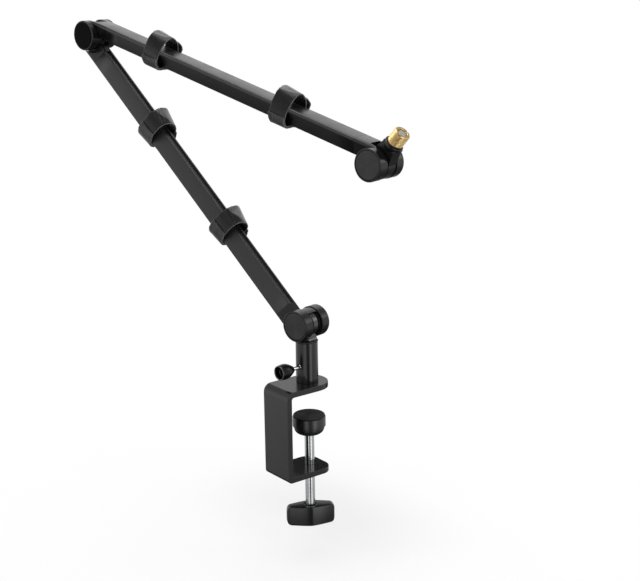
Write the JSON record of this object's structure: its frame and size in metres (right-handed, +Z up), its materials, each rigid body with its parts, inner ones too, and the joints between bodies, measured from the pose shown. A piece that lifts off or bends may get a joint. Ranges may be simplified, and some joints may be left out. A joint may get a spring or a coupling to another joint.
{
  "type": "microphone boom arm",
  "caption": "Desk boom arm for a microphone: bent-bar screw clamp, swivel post, folding arms with disc hinges, cable straps and a threaded tip.",
  "frame": {"origin": "on the post's axis, at the face of the jaw's rubber that rests on the desk top", "axes": "+Z up the post, +Y along the clamp's jaws over the desk, +X along the desk's edge"},
  "size_m": [0.4354, 0.1199, 0.5064],
  "materials": {
    "black_powder_coat": "satin",
    "black_rubber": "matte",
    "black_anodised": "satin black anodised",
    "zinc_steel": "zinc plated",
    "spring_steel": "plain",
    "nylon": "plain",
    "bright_steel": "polished",
    "black_plastic": "fine grain",
    "brass": "machined",
    "black_casting": "black coated casting",
    "arm_coating": "black coated extrusion",
    "satin_cap": "satin",
    "gloss_cap": "gloss",
    "strap_webbing": "hook-and-loop webbing"
  },
  "bodies": {
    "clamp": {"clamp_bracket": "black_powder_coat", "jaw_pad": "black_rubber", "post": "black_anodised", "post_bolt": "zinc_steel", "bushing": "nylon"},
    "pad": {"pressure_pad": "black_plastic", "pad_liner": "black_rubber", "pad_clip": "zinc_steel"},
    "screw": {"clamp_screw": "bright_steel", "handle": "black_plastic", "handle_screw": "zinc_steel"},
    "lock": {"lock_tip": "brass"},
    "thumb": {"thumb_rod": "bright_steel", "thumb_knob": "black_plastic"},
    "swivel": {"swivel_head": "black_casting", "spindle": "bright_steel"},
    "lower_arm": {"lower_tube": "arm_coating", "base_fork": "black_casting", "elbow_tongue": "black_casting", "lower_grub_screws": "zinc_steel", "base_bolt": "zinc_steel", "base_nut": "zinc_steel", "base_spring": "spring_steel", "base_washers": "nylon", "base_cap_front": "satin_cap", "base_cap_back": "satin_cap", "strap_1": "strap_webbing", "strap_2": "strap_webbing"},
    "upper_arm": {"upper_tube": "arm_coating", "elbow_fork": "black_casting", "tip_fork": "black_casting", "upper_grub_screws": "zinc_steel", "elbow_bolt": "zinc_steel", "elbow_nut": "zinc_steel", "elbow_spring": "spring_steel", "elbow_washers": "nylon", "elbow_cap_front": "gloss_cap", "elbow_cap_back": "gloss_cap", "tip_bolt": "zinc_steel", "tip_nut": "zinc_steel", "tip_spring": "spring_steel", "tip_washers": "nylon", "tip_cap_front": "satin_cap", "tip_cap_back": "satin_cap", "strap_3": "strap_webbing", "strap_4": "strap_webbing"},
    "tip": {"tip_head": "black_casting", "mic_stud": "bright_steel", "thread_adapter": "brass"}
  },
  "joints": [
    {"name": "swivel_turn", "type": "hinge", "parent": "clamp", "child": "swivel", "pos_m": [0, 0, 0.0493], "axis": [0, 0, 1], "continuous": true},
    {"name": "base_hinge", "type": "hinge", "parent": "swivel", "child": "lower_arm", "pos_m": [0, 0, 0.0672], "axis": [0.2028, -0.9792, 0], "range_deg": [-95, 30]},
    {"name": "elbow_hinge", "type": "hinge", "parent": "lower_arm", "child": "upper_arm", "pos_m": [-0.29315, -0.06071, 0.34056], "axis": [0.2028, -0.9792, 0], "range_deg": [-17, 142]},
    {"name": "tip_hinge", "type": "hinge", "parent": "upper_arm", "child": "tip", "pos_m": [0.09101, 0.01885, 0.23837], "axis": [0.2028, -0.9792, 0], "range_deg": [-165, 18]},
    {"name": "pad_slide", "type": "slide", "parent": "clamp", "child": "pad", "axis": [0, 0, 1], "range_m": [-0.032, 0.022]},
    {"name": "screw_turn", "type": "hinge", "parent": "pad", "child": "screw", "pos_m": [0, 0.0014, -0.05], "axis": [0, 0, 1], "range_deg": [-7681, 5281]},
    {"name": "lock_slide", "type": "slide", "parent": "clamp", "child": "lock", "axis": [0.0785, -0.9969, 0], "range_m": [0, 0.0025]},
    {"name": "thumb_turn", "type": "hinge", "parent": "lock", "child": "thumb", "pos_m": [0, 0, 0.023], "axis": [0.0785, -0.9969, 0], "range_deg": [0, 1126]}
  ],
  "couplings": [
    {"joint": "screw_turn", "follows": "pad_slide", "rad_per_m": 4188.8},
    {"joint": "thumb_turn", "follows": "lock_slide", "rad_per_m": 7854}
  ]
}
